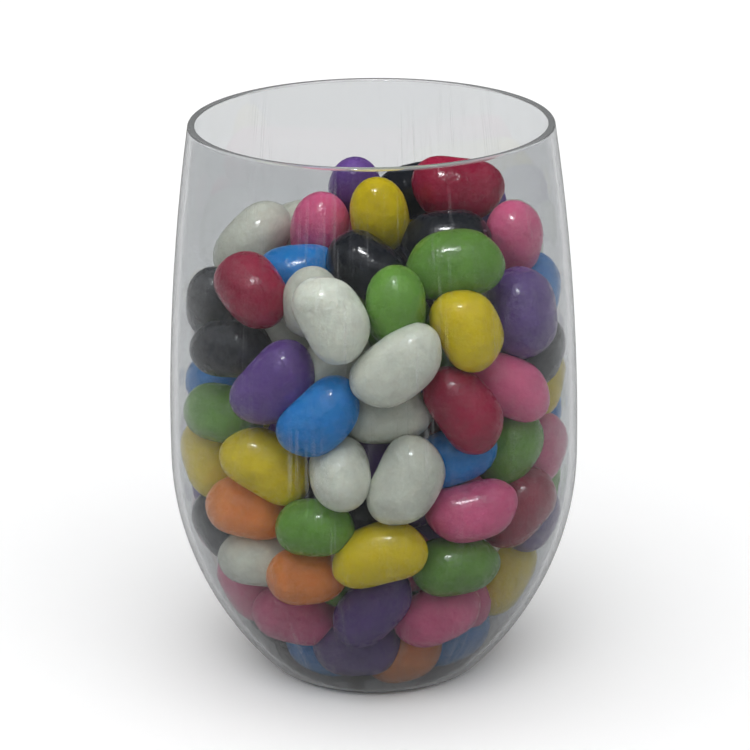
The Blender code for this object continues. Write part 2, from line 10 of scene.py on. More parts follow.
import bmesh
import bpy
import numpy as np
from bpy.props import FloatProperty, FloatVectorProperty, IntProperty, PointerProperty
from mathutils import Matrix, Vector


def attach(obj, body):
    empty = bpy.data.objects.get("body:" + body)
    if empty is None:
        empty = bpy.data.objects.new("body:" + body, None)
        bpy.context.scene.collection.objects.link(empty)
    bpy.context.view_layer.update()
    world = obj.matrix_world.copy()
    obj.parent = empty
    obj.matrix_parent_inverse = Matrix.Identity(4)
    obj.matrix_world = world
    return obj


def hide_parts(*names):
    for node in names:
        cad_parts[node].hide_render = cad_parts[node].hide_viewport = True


bl_info = {
    "name": "Cup of jelly beans",
    "version": (1, 0, 0),
    "blender": (4, 5, 0),
    "location": "View3D > Sidebar > Jelly beans",
    "description": "Builds a clear cup, the jelly beans that fill it and a small studio round them",
    "category": "Add Mesh",
}

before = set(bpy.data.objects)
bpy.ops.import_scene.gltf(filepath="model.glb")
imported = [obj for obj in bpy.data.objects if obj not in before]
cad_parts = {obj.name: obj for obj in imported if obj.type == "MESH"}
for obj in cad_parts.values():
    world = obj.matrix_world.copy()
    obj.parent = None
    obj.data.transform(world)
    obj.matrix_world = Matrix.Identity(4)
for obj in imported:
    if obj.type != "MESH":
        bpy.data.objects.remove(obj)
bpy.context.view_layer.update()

MM = 0.001

# Cup: a stemless tumbler, 90 mm across its belly
CUP_HEIGHT = 124 * MM
FOOT_RADIUS = 24 * MM
BELLY_RADIUS = 45 * MM
BELLY_HEIGHT = 49 * MM
RIM_RADIUS = 38.9 * MM
WALL = 1.5 * MM
FLOOR = 1.5 * MM
FLOOR_RADIUS = 23.4 * MM
LOWER_CURVE = 0.91
UPPER_CURVE = 1.95
FOOT_ROUNDING = 1.2 * MM
RIM_ROUNDING = 0.45 * MM
RIM_HOLD = 0.12 * MM
LOWER_RINGS = 32
UPPER_RINGS = 12
FOOT_ROUNDING_POINTS = 7
RIM_ROUNDING_POINTS = 6
SHARPEST_ANGLE = math.radians(40)
# Painted shade: up to this height the plastic's colour darkens towards the foot, standing in for the dark
# table that the lower wall shows
PAINTED_SHADE_HEIGHT = 38 * MM

# Scratches on the cup: how wide and long one is, and a patch of them, in millimetres, and the range
# of the noise that fades each in
SCRATCHES = (
    (0.4, 25, 0.58, 0.75),
    (9, 40, 0.46, 0.62),
)
SCRATCH_DEPTH = 0.15

# Picture: where its eye is, and how it sees
EYE = np.array([0, -500, 251]) * MM
PITCH = math.radians(20.27)
ROLL = math.radians(0.5)
FOCAL_PIXELS = 2420
PICTURE_SIZE = 750
MIDDLE_COLUMN = 373.5
MIDDLE_ROW = 375
NEAREST = 380 * MM
FARTHEST = 680 * MM
SIGHT_STEP = 0.5 * MM
RIGHT = np.array([1.0, 0.0, 0.0])
FORWARD = np.array([0.0, math.cos(PITCH), -math.sin(PITCH)])
UP = np.array([0.0, math.sin(PITCH), math.cos(PITCH)])

# Beans
USUAL_LONG = 19.8 * MM
USUAL_WIDE = 13.4 * MM
SIZE_SPREAD = 0.035
THICKNESS_SHARE = 0.95
BOW_SHARE = 0.065
BOW_MIDDLE = 0.4
FULLNESS = 0.4
FACET_ALLOWANCE = 1.02

# Fill: the beans behind those of the picture, before they settle
FILL_SEED = 7
FILL_PITCH = 15.2 * MM
LAYER_SHARE = 0.80
LINE_SHARE = 0.88
FIRST_LAYER = 7.5 * MM
LAYER_SHIFT = (4 * MM, 5 * MM)
SHAKE = 1.5 * MM
FILL_APART = 10.5 * MM
FILL_SQUEEZE = 0.5 * MM
VEILING_PIXELS = 34
VEILING_DEPTH = 6 * MM
UPRIGHT_SHARE = 0.6
TOP_UPS = 3
TOP_UP_PITCH = 5 * MM
TOP_UP_ROOM = 4.2 * MM

# Settling: three balls stand for each bean, and each step moves it by a share of what is left
SETTLING_STEPS = 260
TOP_UP_STEPS = 90
SKIN_STEPS = 40
PAIRING_STEPS = 5
CLEARANCE = 0.45 * MM
END_BALL_SHARE = 0.84
MIDDLE_BALL_SHARE = 0.985
BALL_SPOTS = np.array([-1.0, 0.0, 1.0])
REACH = 24 * MM
SEEN_GIVES = 0.35
PUSH_SHARE = 0.25
LONGEST_PUSH = 3 * MM
WALL_SHARE = 0.36
LONGEST_WALL_PUSH = 4 * MM
LONGEST_MOVE = 1.5 * MM
TURN_SHARE = 2.2
TURN_HOLD = 30 * MM ** 2
SINK = 0.05 * MM
BACK_ACROSS = 0.35
BACK_ALONG = 0.04
BACK_LEAN = 0.25
BACK_HOLLOW = 0.05
GRID = 1e-8
LEAST_RADIUS = 1e-9

# Heap: its surface rises towards the back and the right and has a mound on it. It stays under the
# skyline that the picture shows.
HEAP_EDGE_HEIGHT = 96 * MM
SLOPE_ACROSS = 0.08
SLOPE_BACK = 0.06
MOUND_HEIGHT = 17 * MM
MOUND_RADIUS = 24 * MM
MOUND_X = 8 * MM
MOUND_Y = 6 * MM
SKYLINE_COLUMNS = 22
SKYLINE_ROWS = 4

# In sight: beans this near to the wall, and beans with no other one this near across and this far up
SHOWN_DEPTH = 10.2 * MM
COVER_ACROSS = 9 * MM
COVER_ABOVE = 5 * MM

# Skins: how fine they are, and how far each bean differs from the usual oval
BEAN_DETAIL = 4
HIDDEN_BEAN_DETAIL = 3
LUMP_COUNT = 4
LUMPS = 0.06
LOWEST_LUMP = -1
HIGHEST_LUMP = 0.4
LUMP_SHARPNESS = 3
TAPER = 0.07
TONE_SPREAD = 0.05

# Stage: a wide disc of paper just under the foot, two broad lights and a softbox
PAPER_RADIUS = 6
PAPER_SIDES = 96
PAPER_DROP = 0.05 * MM
OVERHEAD_PLACE = Vector((-0.08, -0.25, 1.2))
FILL_PLACE = Vector((0.2, -1.0, 0.5))
BROAD_LIGHT_ANGLE = math.radians(110)
SOFTBOX_PLACE = Vector((-0.08, -0.35, 0.8))
SOFTBOX_WIDTH = 0.14
SOFTBOX_DEPTH = 0.1
SENSOR_WIDTH = 36
NEAREST_IN_VIEW = 0.05

# How often light may bend or bounce, high enough that no part of the clear wall turns black
CLEAR_BOUNCES = 32
GLOSSY_BOUNCES = 12

BEAN_COLOURS = {
    "white": "D1D3C5",
    "yellow": "DBC318",
    "orange": "DE8540",
    "pink": "DA638E",
    "red": "94203E",
    "purple": "614587",
    "blue": "1B7DC6",
    "green": "67953C",
    "black": "161A22",
}

# What the picture shows of each bean: its colour, the column and row of its middle, its length
# and width in millimetres, the lean of its long axis in degrees, how many millimetres it lies
# behind the front of the cup, how far its long axis points out of the picture, and the side of
# its hollow.
Bean = namedtuple("Bean", "colour column row long wide lean behind nose hollow", defaults=(0, 0, "away"))
SEEN = (
    # Top of the heap
    Bean("white", column=252, row=241, long=21.0, wide=13.4, lean=42, behind=38, nose=-5),
    Bean("white", column=291, row=230, long=19.0, wide=13.0, lean=20, behind=50, nose=20),
    Bean("pink", column=320, row=229, long=19.5, wide=13.6, lean=80, behind=34, nose=62),
    Bean("purple", column=355, row=187, long=17.0, wide=12.2, lean=90, behind=44, nose=75),
    Bean("yellow", column=380, row=215, long=19.0, wide=13.2, lean=100, behind=27, nose=58),
    Bean("black", column=416, row=191, long=19.5, wide=13.0, lean=10, behind=46, nose=10),
    Bean("red", column=458, row=187, long=20.5, wide=13.8, lean=-5, behind=33, hollow="up"),
    Bean("pink", column=515, row=240, long=18.5, wide=13.0, lean=95, behind=22, nose=50),
    Bean("white", column=524, row=240, long=18.5, wide=13.0, lean=90, behind=40),
    Bean("black", column=445, row=240, long=19.5, wide=13.4, lean=2, behind=20),
    Bean("green", column=451, row=267, long=21.5, wide=14.2, lean=7, behind=9, hollow="down"),
    Bean("blue", column=544, row=294, long=19.0, wide=13.2, lean=80, behind=40),
    Bean("black", column=369, row=268, long=19.0, wide=13.2, lean=-35, behind=14, nose=20),
    Bean("blue", column=300, row=277, long=19.5, wide=13.4, lean=10, behind=18),
    Bean("red", column=256, row=289, long=18.6, wide=13.8, lean=-50, behind=5, nose=35),
    Bean("black", column=213, row=303, long=19.0, wide=13.2, lean=80, behind=16, nose=55),
    # Upper front
    Bean("purple", column=526, row=314, long=20.0, wide=15.2, lean=95, behind=0),
    Bean("black", column=552, row=345, long=18.0, wide=12.6, lean=60, behind=34, nose=-30),
    Bean("yellow", column=468, row=330, long=18.0, wide=13.4, lean=-65, hollow="left"),
    Bean("green", column=398, row=309, long=19.0, wide=13.2, lean=92, behind=4, nose=42),
    Bean("white", column=395, row=362, long=21.6, wide=13.4, lean=46, hollow="left"),
    Bean("white", column=330, row=319, long=19.0, wide=13.6, lean=-60, hollow="left"),
    Bean("white", column=309, row=303, long=17.0, wide=12.6, lean=75, behind=12, nose=60),
    Bean("white", column=297, row=321, long=18.5, wide=13.0, lean=10, behind=10),
    Bean("black", column=227, row=348, long=18.5, wide=13.0, lean=2, behind=0, nose=15),
    Bean("blue", column=215, row=380, long=19.0, wide=13.0, lean=10, behind=40, nose=50),
    Bean("green", column=224, row=413, long=19.0, wide=13.2, lean=-10, behind=8, nose=30),
    Bean("purple", column=275, row=385, long=20.5, wide=13.8, lean=40, hollow="left"),
    Bean("blue", column=318, row=416, long=20.0, wide=12.8, lean=42, hollow="left"),
    Bean("white", column=330, row=366, long=19.0, wide=13.0, lean=40, behind=11),
    Bean("white", column=387, row=415, long=20.0, wide=13.2, lean=5, behind=11),
    Bean("purple", column=348, row=382, long=19.0, wide=13.0, lean=70, behind=16),
    Bean("red", column=462, row=409, long=20.5, wide=13.4, lean=-55, behind=2, hollow="left"),
    Bean("pink", column=508, row=386, long=20.5, wide=13.0, lean=-22, behind=2, hollow="down"),
    Bean("yellow", column=539, row=379, long=19.0, wide=13.0, lean=80, behind=40),
    Bean("blue", column=549, row=413, long=17.0, wide=13.0, lean=70, behind=3, nose=30),
    Bean("pink", column=553, row=447, long=18.0, wide=13.0, lean=60, behind=26, nose=30),
    Bean("green", column=507, row=449, long=19.0, wide=13.4, lean=60, behind=4, nose=30),
    Bean("blue", column=455, row=455, long=19.0, wide=13.0, lean=20, behind=11),
    # Middle
    Bean("green", column=541, row=483, long=19.0, wide=13.0, lean=80, behind=30),
    Bean("red", column=521, row=507, long=20.0, wide=13.4, lean=50, behind=3),
    Bean("pink", column=473, row=510, long=19.8, wide=12.8, lean=12, hollow="up"),
    Bean("white", column=404, row=479, long=20.5, wide=13.8, lean=62, hollow="left"),
    Bean("white", column=341, row=472, long=19.0, wide=13.4, lean=-80, behind=2, nose=55),
    Bean("yellow", column=267, row=467, long=20.6, wide=13.4, lean=-32, hollow="down"),
    Bean("yellow", column=211, row=459, long=19.5, wide=13.2, lean=-75, behind=3),
    Bean("purple", column=213, row=425, long=19.0, wide=13.0, lean=80, behind=34),
    Bean("purple", column=213, row=489, long=19.0, wide=13.0, lean=10, behind=34, nose=50),
    Bean("black", column=214, row=527, long=19.0, wide=13.0, lean=-50, behind=14, nose=20),
    Bean("orange", column=250, row=509, long=19.8, wide=13.4, lean=-15, behind=3),
    Bean("green", column=315, row=526, long=17.5, wide=13.0, lean=-5, behind=4, nose=20),
    Bean("yellow", column=378, row=553, long=20.8, wide=13.0, lean=14, hollow="down"),
    Bean("green", column=455, row=565, long=19.5, wide=13.2, lean=5, behind=3),
    Bean("yellow", column=510, row=576, long=21.0, wide=13.6, lean=52),
    Bean("purple", column=538, row=519, long=18.0, wide=12.6, lean=70, behind=34, nose=50),
    Bean("black", column=355, row=515, long=19.0, wide=13.0, lean=30, behind=13),
    Bean("black", column=322, row=497, long=19.0, wide=13.0, lean=-20, behind=14),
    Bean("purple", column=372, row=452, long=19.0, wide=13.0, lean=80, behind=15),
    # Bottom
    Bean("white", column=260, row=556, long=17.5, wide=13.0, lean=-8, behind=3),
    Bean("orange", column=305, row=577, long=18.0, wide=13.0, lean=3, behind=1),
    Bean("pink", column=248, row=584, long=19.0, wide=13.0, lean=-60, behind=12),
    Bean("pink", column=293, row=617, long=19.8, wide=13.0, lean=-15, behind=1),
    Bean("black", column=272, row=625, long=19.0, wide=13.0, lean=-30, behind=10),
    Bean("purple", column=372, row=610, long=19.5, wide=13.0, lean=45, behind=2),
    Bean("pink", column=436, row=612, long=19.8, wide=12.8, lean=25, behind=2),
    Bean("blue", column=450, row=650, long=19.5, wide=12.8, lean=25, behind=4),
    Bean("purple", column=354, row=664, long=19.5, wide=12.8, lean=0, behind=2),
    Bean("blue", column=312, row=675, long=18.5, wide=12.8, lean=-20, behind=4),
    Bean("orange", column=406, row=680, long=18.5, wide=12.8, lean=15, behind=3),
)
FILL_SHARES = {
    "white": 0.20,
    "purple": 0.14,
    "yellow": 0.12,
    "pink": 0.13,
    "black": 0.10,
    "green": 0.11,
    "blue": 0.09,
    "red": 0.06,
    "orange": 0.05,
}

Beans = namedtuple("Beans", "places long_axes hollow_axes longs wides")
Cup = namedtuple("Cup", "height foot_radius belly_radius belly_height rim_radius wall floor floor_radius")


def linear(hex_colour):
    """The linear colour of an sRGB hex value."""
    values = [int(hex_colour[k:k + 2], 16) / 255 for k in (0, 2, 4)]
    return [v / 12.92 if v <= 0.04045 else ((v + 0.055) / 1.055) ** 2.4 for v in values]


def length_property(name, description, default):
    """A size that a user can change, in metres."""
    return FloatProperty(
        name=name, description=description, default=default, min=0.0, precision=4, unit="LENGTH"
    )


def colour_property(name, description, hex_colour):
    """A colour that a user can change, from its sRGB hex value."""
    return FloatVectorProperty(
        name=name, description=description, default=linear(hex_colour), min=0.0, max=1.0, subtype="COLOR"
    )


class CupSettings(bpy.types.PropertyGroup):
    """Sizes and colour of the clear cup."""
    height: length_property("Height", "Height of the cup, from its foot to its rim", CUP_HEIGHT)
    foot_radius: length_property("Foot radius", "Radius of the flat foot", FOOT_RADIUS)
    belly_radius: length_property("Belly radius", "Radius of the cup where it is widest", BELLY_RADIUS)
    belly_height: length_property("Belly height", "Height at which the cup is widest", BELLY_HEIGHT)
    rim_radius: length_property("Rim radius", "Outer radius of the rim", RIM_RADIUS)
    wall: length_property("Wall", "Thickness of the side", WALL)
    floor: length_property("Floor", "Thickness of the floor", FLOOR)
    floor_radius: length_property("Floor radius", "Radius of the floor, inside", FLOOR_RADIUS)
    segments: IntProperty(
        name="Segments", description="Sides of the cup, all the way round", default=144, min=24, max=256
    )
    tint: colour_property("Tint", "Colour that one wall of the plastic gives to light", "D2D4D5")


class BeanSettings(bpy.types.PropertyGroup):
    """Colours of the sugar shells, and how fine the beans are."""
    detail: IntProperty(
        name="Detail", description="Subdivisions of each bean that shows", default=BEAN_DETAIL, min=2, max=5
    )
    white: colour_property("White", "Colour of the white shells", BEAN_COLOURS["white"])
    yellow: colour_property("Yellow", "Colour of the yellow shells", BEAN_COLOURS["yellow"])
    orange: colour_property("Orange", "Colour of the orange shells", BEAN_COLOURS["orange"])
    pink: colour_property("Pink", "Colour of the pink shells", BEAN_COLOURS["pink"])
    red: colour_property("Red", "Colour of the crimson shells", BEAN_COLOURS["red"])
    purple: colour_property("Purple", "Colour of the purple shells", BEAN_COLOURS["purple"])
    blue: colour_property("Blue", "Colour of the blue shells", BEAN_COLOURS["blue"])
    green: colour_property("Green", "Colour of the green shells", BEAN_COLOURS["green"])
    black: colour_property("Black", "Colour of the black shells", BEAN_COLOURS["black"])


class StageSettings(bpy.types.PropertyGroup):
    """The floor and the light."""
    floor_colour: colour_property("Floor", "Colour of the pale floor", "F8F8F8")
    room_colour: colour_property("Room", "Colour of the dark room that the cup mirrors", "3A3B3D")
    table_colour: colour_property("Table", "Colour of the grey table that the cup mirrors", "808080")
    overhead: FloatProperty(
        name="Overhead light", description="Strength of the broad light above", default=3.15, min=0.0
    )
    fill: FloatProperty(
        name="Fill light", description="Strength of the broad light in front", default=0.95, min=0.0
    )
    softbox: FloatProperty(
        name="Softbox", description="Power of the small softbox", default=7.0, min=0.0, unit="POWER"
    )


def unit(vectors):
    """The vectors, each made one long."""
    return vectors / np.sqrt((vectors ** 2).sum(-1, keepdims=True))


def on_grid(vectors):
    """Rounded, so that every computer settles the beans alike."""
    return np.round(vectors / GRID) * GRID


def wall_gap(inside, points):
    """How far each point is inside the cup, and the direction that leads away from the wall."""
    radius = np.sqrt((points[:, :2] ** 2).sum(1))
    flat = np.stack([radius, points[:, 2]], 1)
    start, step = inside[:-1], np.diff(inside, axis=0)
    along = ((flat[:, None] - start) * step).sum(2) / (step ** 2).sum(1)
    foot = start + np.clip(along, 0, 1)[:, :, None] * step
    away = flat[:, None] - foot
    gap = np.sqrt((away ** 2).sum(2))
    best = gap.argmin(1)
    rows = np.arange(len(points))
    normal = unit(np.stack([-step[:, 1], step[:, 0]], 1))[best]
    inside = (away[rows, best] * normal).sum(1) >= 0
    outward = points[:, :2] / np.maximum(radius, LEAST_RADIUS)[:, None]
    return (
        np.where(inside, gap[rows, best], -gap[rows, best]),
        np.concatenate([normal[:, :1] * outward, normal[:, 1:]], 1),
    )


def sight_line(column, row):
    """The direction from the eye through a column and row of the picture."""
    x, y = column - MIDDLE_COLUMN, MIDDLE_ROW - row
    across = x * math.cos(ROLL) + y * math.sin(ROLL)
    up = y * math.cos(ROLL) - x * math.sin(ROLL)
    return unit(FORWARD * FOCAL_PIXELS + RIGHT * across + UP * up)


def place_seen(inside, bean):
    """A bean of the picture: its place, long axis and hollow side."""
    way = sight_line(bean.column, bean.row)
    line = EYE + way * np.arange(NEAREST, FARTHEST, SIGHT_STEP)[:, None]
    gap, _ = wall_gap(inside, line)
    room = np.flatnonzero(gap > bean.wide * MM / 2 + CLEARANCE)
    if len(room):
        place = line[min(room[0] + int(bean.behind * MM / SIGHT_STEP), room[-1])]
    else:
        place = line[gap.argmax()]
    lean, nose = math.radians(bean.lean), math.radians(bean.nose)
    across = RIGHT * math.cos(lean) + UP * math.sin(lean)
    long_axis = across * math.cos(nose) - FORWARD * math.sin(nose)
    side = {"away": FORWARD, "left": -RIGHT, "up": UP, "down": -UP}[bean.hollow]
    return place, long_axis, unit(side - long_axis * (side * long_axis).sum())


def heap_height(x, y):
    """Height of the heap's surface: a mound that is highest a little behind the middle, on the right."""
    mound = np.exp(-((x - MOUND_X) ** 2 + (y - MOUND_Y) ** 2) / MOUND_RADIUS ** 2)
    return HEAP_EDGE_HEIGHT + SLOPE_ACROSS * x + SLOPE_BACK * y + MOUND_HEIGHT * mound


def seen_at(places):
    """The column and row of the picture at which each place is seen."""
    away = places - EYE
    scale = FOCAL_PIXELS / (away * FORWARD).sum(-1)
    across, up = (away * RIGHT).sum(-1) * scale, (away * UP).sum(-1) * scale
    x = across * math.cos(ROLL) - up * math.sin(ROLL)
    y = up * math.cos(ROLL) + across * math.sin(ROLL)
    return MIDDLE_COLUMN + x, MIDDLE_ROW - y


def peeks_over(places, seen_places):
    """Whether the picture would show a bean at each place above the beans that it does show."""
    column, row = seen_at(places)
    seen_column, seen_row = seen_at(seen_places)
    beside = np.abs(column[:, None] - seen_column) < SKYLINE_COLUMNS
    return row < np.where(beside, seen_row, MIDDLE_ROW).min(1) + SKYLINE_ROWS


def veils(places, seen_places):
    """Whether a bean at each place would stand before a bean that the picture shows."""
    column, row = seen_at(places)
    seen_column, seen_row = seen_at(seen_places)
    beside = (column[:, None] - seen_column) ** 2 + (row[:, None] - seen_row) ** 2 < VEILING_PIXELS ** 2
    depth, seen_depth = ((places - EYE) * FORWARD).sum(1), ((seen_places - EYE) * FORWARD).sum(1)
    return (beside & (depth[:, None] < seen_depth + VEILING_DEPTH)).any(1)


def draw_bean(draw, place):
    """A bean of the fill at a place, turned anyhow, of nearly the usual size and any colour."""
    names = tuple(FILL_SHARES)
    long_axis = unit(draw.normal(size=3) * [1, 1, UPRIGHT_SHARE])
    hollow = unit(np.cross(long_axis, draw.normal(size=3)))
    size = draw.normal(1, SIZE_SPREAD)
    colour = names[draw.choice(len(names), p=tuple(FILL_SHARES.values()))]
    return place, long_axis, hollow, USUAL_LONG * size, USUAL_WIDE * size, colour


def in_heap(inside, places, seen_places):
    """Whether a bean at each place is in the cup, under the surface and behind what the picture shows."""
    low_enough = places[:, 2] < heap_height(places[:, 0], places[:, 1]) - USUAL_WIDE / 2
    clear = wall_gap(inside, places)[0] > USUAL_WIDE / 2 - FILL_SQUEEZE
    return low_enough & clear & ~peeks_over(places, seen_places) & ~veils(places, seen_places)


def lattice(pitch, layer_pitch):
    """Points of a lattice that fills the cup, each layer and line set between those beside it."""
    return np.array([
        (x + line % 2 * pitch / 2 + layer % 2 * LAYER_SHIFT[0], y + layer % 2 * LAYER_SHIFT[1], z)
        for layer, z in enumerate(np.arange(FLOOR + FIRST_LAYER, CUP_HEIGHT, layer_pitch))
        for line, y in enumerate(np.arange(-BELLY_RADIUS, BELLY_RADIUS, pitch * LINE_SHARE))
        for x in np.arange(-BELLY_RADIUS, BELLY_RADIUS, pitch)
    ])


def place_fill(inside, draw, seen_places):
    """The beans that fill the cup behind those of the picture, on a shaken lattice."""
    places = lattice(FILL_PITCH, FILL_PITCH * LAYER_SHARE)
    places = places + draw.uniform(-SHAKE, SHAKE, places.shape)
    apart = np.sqrt(((places[:, None] - seen_places) ** 2).sum(2)).min(1)
    free = in_heap(inside, places, seen_places) & (apart > FILL_APART)
    return [draw_bean(draw, place) for place in places[free]]


def top_up(inside, draw, beans, seen_places):
    """More beans, wherever the settled heap has room for one."""
    centres, radii = balls(beans)
    centres, radii = centres.reshape(-1, 3), radii.reshape(-1)
    found = []
    spots = lattice(TOP_UP_PITCH, TOP_UP_PITCH)
    for place in spots[in_heap(inside, spots, seen_places)]:
        if (np.sqrt(((centres - place) ** 2).sum(1)) - radii).min() > TOP_UP_ROOM:
            found.append(draw_bean(draw, place))
            centres = np.concatenate([centres, place[None]])
            radii = np.append(radii, USUAL_WIDE / 2)
    return found


def balls(beans):
    """Three balls along each bean's bent middle line, which stand for it as it settles."""
    end = beans.wides / 2 * END_BALL_SHARE
    reach = (beans.longs / 2 - end)[:, None, None] * BALL_SPOTS[None, :, None]
    bow = (beans.longs * BOW_SHARE)[:, None, None] * (BALL_SPOTS ** 2 - BOW_MIDDLE)[None, :, None]
    centres = beans.places[:, None] + beans.long_axes[:, None] * reach + beans.hollow_axes[:, None] * bow
    return centres, np.stack([end, beans.wides / 2 * MIDDLE_BALL_SHARE, end], 1)


def settle(inside, home, beans, steps):
    """Push beans out of each other and of the wall, let the fill sink, and keep the seen ones in view.

    Home holds the beans of the picture, which come first, where they belong.
    """
    seen_count, count = len(home.places), len(beans.places)
    gives = np.where(np.arange(count) < seen_count, SEEN_GIVES, 1.0)
    for step in range(steps):
        if step % PAIRING_STEPS == 0:
            apart = ((beans.places[:, None] - beans.places[None]) ** 2).sum(2)
            first, second = np.nonzero(np.triu(apart < REACH ** 2, 1))
            share = (gives[first] / (gives[first] + gives[second]))[:, None, None, None]
        centres, radii = balls(beans)
        push = wall_push(inside, centres, radii)
        force = ball_push(centres, radii, first, second)
        np.add.at(push, first, (force * share).sum(2))
        np.add.at(push, second, -(force * (1 - share)).sum(1))
        arm = centres - beans.places[:, None]
        turning = np.cross(arm, push).sum(1) / ((arm ** 2).sum((1, 2)) + TURN_HOLD)[:, None] * TURN_SHARE
        move = push.sum(1)
        move[seen_count:, 2] -= SINK * (1 - step / steps)
        beans = keep_in_view(home, moved(beans, move, turning))
    return beans


def wall_push(inside, centres, radii):
    """How far the wall pushes each ball towards the inside of the cup."""
    gap, inward = wall_gap(inside, centres.reshape(-1, 3))
    short = np.clip(radii.reshape(-1) + CLEARANCE - gap, 0, LONGEST_WALL_PUSH)
    return (inward * short[:, None] * WALL_SHARE).reshape(centres.shape)


def ball_push(centres, radii, first, second):
    """How far each ball of the first beans is pushed by each ball of the second ones."""
    between = centres[first][:, :, None] - centres[second][:, None]
    distance = np.maximum(np.sqrt((between ** 2).sum(3)), GRID)
    overlap = np.clip(radii[first][:, :, None] + radii[second][:, None] - distance, 0, LONGEST_PUSH)
    return between / distance[..., None] * overlap[..., None] * PUSH_SHARE


def moved(beans, move, turning):
    """The beans after one small move and turn each."""
    length = np.sqrt((move ** 2).sum(1, keepdims=True))
    return beans._replace(
        places=beans.places + move * np.minimum(1, LONGEST_MOVE / np.maximum(length, GRID)),
        long_axes=beans.long_axes + np.cross(turning, beans.long_axes),
        hollow_axes=beans.hollow_axes + np.cross(turning, beans.hollow_axes),
    )


def keep_in_view(home, beans):
    """Bring the beans of the picture back a little, least along the sight line, and square every axis."""
    seen = slice(0, len(home.places))
    places, long_axes, hollow_axes = beans.places.copy(), beans.long_axes.copy(), beans.hollow_axes.copy()
    way = unit(home.places - EYE)
    back = home.places - places[seen]
    along = (back * way).sum(1, keepdims=True) * way
    places[seen] += (back - along) * BACK_ACROSS + along * BACK_ALONG
    long_axes[seen] += (home.long_axes - long_axes[seen]) * BACK_LEAN
    hollow_axes[seen] += (home.hollow_axes - hollow_axes[seen]) * BACK_HOLLOW
    long_axes = unit(long_axes)
    hollow_axes = unit(hollow_axes - long_axes * (long_axes * hollow_axes).sum(1, keepdims=True))
    return beans._replace(
        places=on_grid(places), long_axes=on_grid(long_axes), hollow_axes=on_grid(hollow_axes)
    )


def clear_of_wall(inside, beans):
    """Move each bean in until its whole skin is clear of the cup."""
    directions = ball_directions() * FACET_ALLOWANCE
    shapes = np.array([skin(directions, *row) for row in zip(*beans[1:])])
    number = np.arange(len(shapes))
    places = beans.places
    for _ in range(SKIN_STEPS):
        gap, inward = wall_gap(inside, (places[:, None] + shapes).reshape(-1, 3))
        short = np.clip(CLEARANCE - gap, 0, None).reshape(len(shapes), -1)
        worst = short.argmax(1)
        step = inward.reshape(shapes.shape)[number, worst] * short[number, worst][:, None]
        places = on_grid(places + step)
    return beans._replace(places=places)


def skin(directions, long_axis, hollow_axis, long, wide):
    """Points of a bean's skin about its middle, for directions on a ball: a full oval, bent to one side."""
    x, y, z = directions.T
    full = wide / 2 * (1 + FULLNESS * (1 - x ** 2) * x ** 2)
    bend = long * BOW_SHARE * (x ** 2 - BOW_MIDDLE)
    thick_axis = np.cross(long_axis, hollow_axis)
    return (
        (x * long / 2)[:, None] * long_axis
        + (y * full + bend)[:, None] * hollow_axis
        + (z * full * THICKNESS_SHARE)[:, None] * thick_axis
    )


def ball_directions():
    """The corners of a ball of 80 triangles."""
    mesh = bmesh.new()
    bmesh.ops.create_icosphere(mesh, subdivisions=2, radius=1)
    directions = np.array([vert.co for vert in mesh.verts])
    mesh.free()
    return unit(directions)


def in_columns(rows):
    """The beans of a list, without their colours."""
    return Beans(*(np.array([row[k] for row in rows]) for k in range(len(Beans._fields))))


def pack_beans(inside):
    """Every bean in its settled place, and the colour of each."""
    draw = np.random.default_rng(FILL_SEED)
    rows = [(*place_seen(inside, bean), bean.long * MM, bean.wide * MM, bean.colour) for bean in SEEN]
    home = in_columns(rows)
    rows += place_fill(inside, draw, home.places)
    beans = settle(inside, home, in_columns(rows), SETTLING_STEPS)
    for _ in range(TOP_UPS):
        more = top_up(inside, draw, beans, home.places)
        if more:
            rows += more
            beans = Beans(*(np.concatenate(pair) for pair in zip(beans, in_columns(more))))
            beans = settle(inside, home, beans, TOP_UP_STEPS)
    return clear_of_wall(inside, beans), [row[-1] for row in rows]


def exact(group):
    """The cup's sizes in full precision, so that the beans settle as they do in the solids."""
    return Cup(*(round(getattr(group, name), 7) for name in Cup._fields))


def side_radius(cup, height, foot, foot_height, belly):
    """The cup's radius at a height: a full curve from the foot to the belly, then drawn in to the rim."""
    low = np.clip(1 - (height - foot_height) / (cup.belly_height - foot_height), 0, 1)
    high = np.clip((height - cup.belly_height) / (cup.height - cup.belly_height), 0, 1)
    below = foot + (belly - foot) * (1 - low ** 2) ** LOWER_CURVE
    above = belly - (cup.belly_radius - cup.rim_radius) * high ** UPPER_CURVE
    return np.where(height < cup.belly_height, below, above)


def ring_heights(cup, lowest, highest):
    """Heights up a side, closer together near the foot, where the side curves most."""
    turns = np.linspace(0, math.pi / 2, LOWER_RINGS + 1)
    low = lowest + (cup.belly_height - lowest) * (1 - np.cos(turns))
    return np.concatenate([low, np.linspace(cup.belly_height, highest, UPPER_RINGS + 1)[1:]])


def held(heights):
    """The heights with one more ring just below the top, which keeps the rim's rounding off the side."""
    return np.insert(heights, -1, heights[-1] - RIM_HOLD)


def inside_profile(cup, up):
    """Radius and height along the floor and up the inside of the cup."""
    radius = side_radius(cup, up, cup.floor_radius, cup.floor, cup.belly_radius - cup.wall)
    return np.concatenate([[[0.0, cup.floor]], np.stack([radius, up], 1)])


